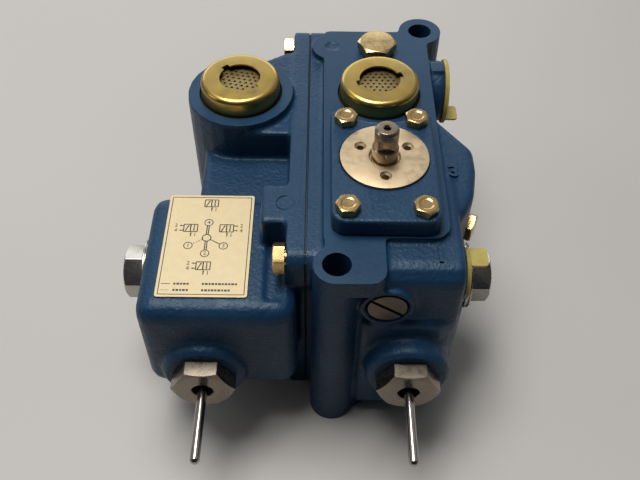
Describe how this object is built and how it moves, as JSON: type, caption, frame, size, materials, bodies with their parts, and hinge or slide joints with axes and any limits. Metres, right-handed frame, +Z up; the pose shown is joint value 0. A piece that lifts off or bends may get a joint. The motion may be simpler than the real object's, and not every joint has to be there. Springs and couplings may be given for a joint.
{
  "type": "rotary shaft directional valve",
  "caption": "Pneumatic directional valve of two painted castings, turned by an upright shaft, with front push pins, domed breathers and side ports.",
  "frame": {"origin": "bottom centre of the whole valve: on the plane where the two castings meet (x = 0), level with the feet of the mounting columns (z = 0), half way between the push pins' tips and the far column's back (y = 0)", "axes": "+X towards the side with the air ports, +Y from the push pins to the back, +Z up out of the deck, along the shaft"},
  "size_m": [0.1888, 0.2442, 0.148],
  "materials": {
    "blue_paint": "satin blue paint over a cast surface, smoother on machined faces",
    "yellow_zinc": "pressed steel, yellow chromated zinc",
    "bolt_zinc": "zinc plated, pale gold",
    "bearing_metal": "turned flat, pale beige metal",
    "bright_steel": "ground and polished",
    "turned_steel": "turned, with drawn lines along the flats",
    "black_rubber": "moulded, matt",
    "gasket_fibre": "compressed fibre sheet, matt",
    "yellow_plastic": "thin translucent yellow moulding",
    "label_foil": "printed foil",
    "filter_felt": "felt",
    "bronze": "turned"
  },
  "bodies": {
    "valve_body": {"main_casting": "blue_paint", "side_casting": "blue_paint", "joint_gasket": "gasket_fibre", "clamp_bolt_1": "bolt_zinc", "clamp_bolt_2": "bolt_zinc", "clamp_bolt_3": "bolt_zinc", "clamp_bolt_4": "bolt_zinc", "cover_plate": "blue_paint", "cover_bolt_1": "bolt_zinc", "cover_bolt_2": "bolt_zinc", "cover_bolt_3": "bolt_zinc", "cover_bolt_4": "bolt_zinc", "bearing_disc": "bearing_metal", "port_plate": "turned_steel", "thrust_washer": "bronze", "shaft_seal": "black_rubber", "guide_nut_left": "turned_steel", "guide_nut_right": "turned_steel", "pin_seal_left": "black_rubber", "pin_seal_right": "black_rubber", "seat_bush_left": "bronze", "seat_bush_right": "bronze", "return_spring_left": "bright_steel", "return_spring_right": "bright_steel", "spring_cap_left": "turned_steel", "spring_cap_right": "turned_steel", "breather_cup_left": "yellow_zinc", "breather_cup_right": "yellow_zinc", "breather_screen_left": "bearing_metal", "breather_screen_right": "bearing_metal", "filter_pad_left": "filter_felt", "filter_pad_right": "filter_felt", "side_plug_left": "turned_steel", "side_plug_right": "turned_steel", "side_plug_ring_left": "black_rubber", "side_plug_ring_right": "black_rubber", "slotted_plug": "turned_steel", "angled_plug": "yellow_zinc", "angled_plug_ring": "bronze", "top_plug": "bolt_zinc", "top_plug_ring": "bronze", "port_cap_1": "yellow_plastic", "port_cap_3": "yellow_plastic", "label_plate": "label_foil"},
    "shaft_body": {"shaft": "bright_steel", "rotor_disc": "bronze", "drive_pin": "turned_steel"},
    "pin_left_body": {"push_pin_left": "bright_steel", "poppet_left": "black_rubber"},
    "pin_right_body": {"push_pin_right": "bright_steel", "poppet_right": "black_rubber"}
  },
  "joints": [
    {"name": "shaft_turn", "type": "hinge", "parent": "valve_body", "child": "shaft_body", "pos_m": [0.0358, -0.00355, 0.097], "axis": [0, 0, 1], "range_deg": [-60, 180]},
    {"name": "pin_left_push", "type": "slide", "parent": "valve_body", "child": "pin_left_body", "axis": [0, 1, 0], "range_m": [0, 0.006], "stiffness_N_per_m": 1500, "deforming": ["return_spring_left"]},
    {"name": "pin_right_push", "type": "slide", "parent": "valve_body", "child": "pin_right_body", "axis": [0, 1, 0], "range_m": [0, 0.006], "stiffness_N_per_m": 1500, "deforming": ["return_spring_right"]}
  ]
}
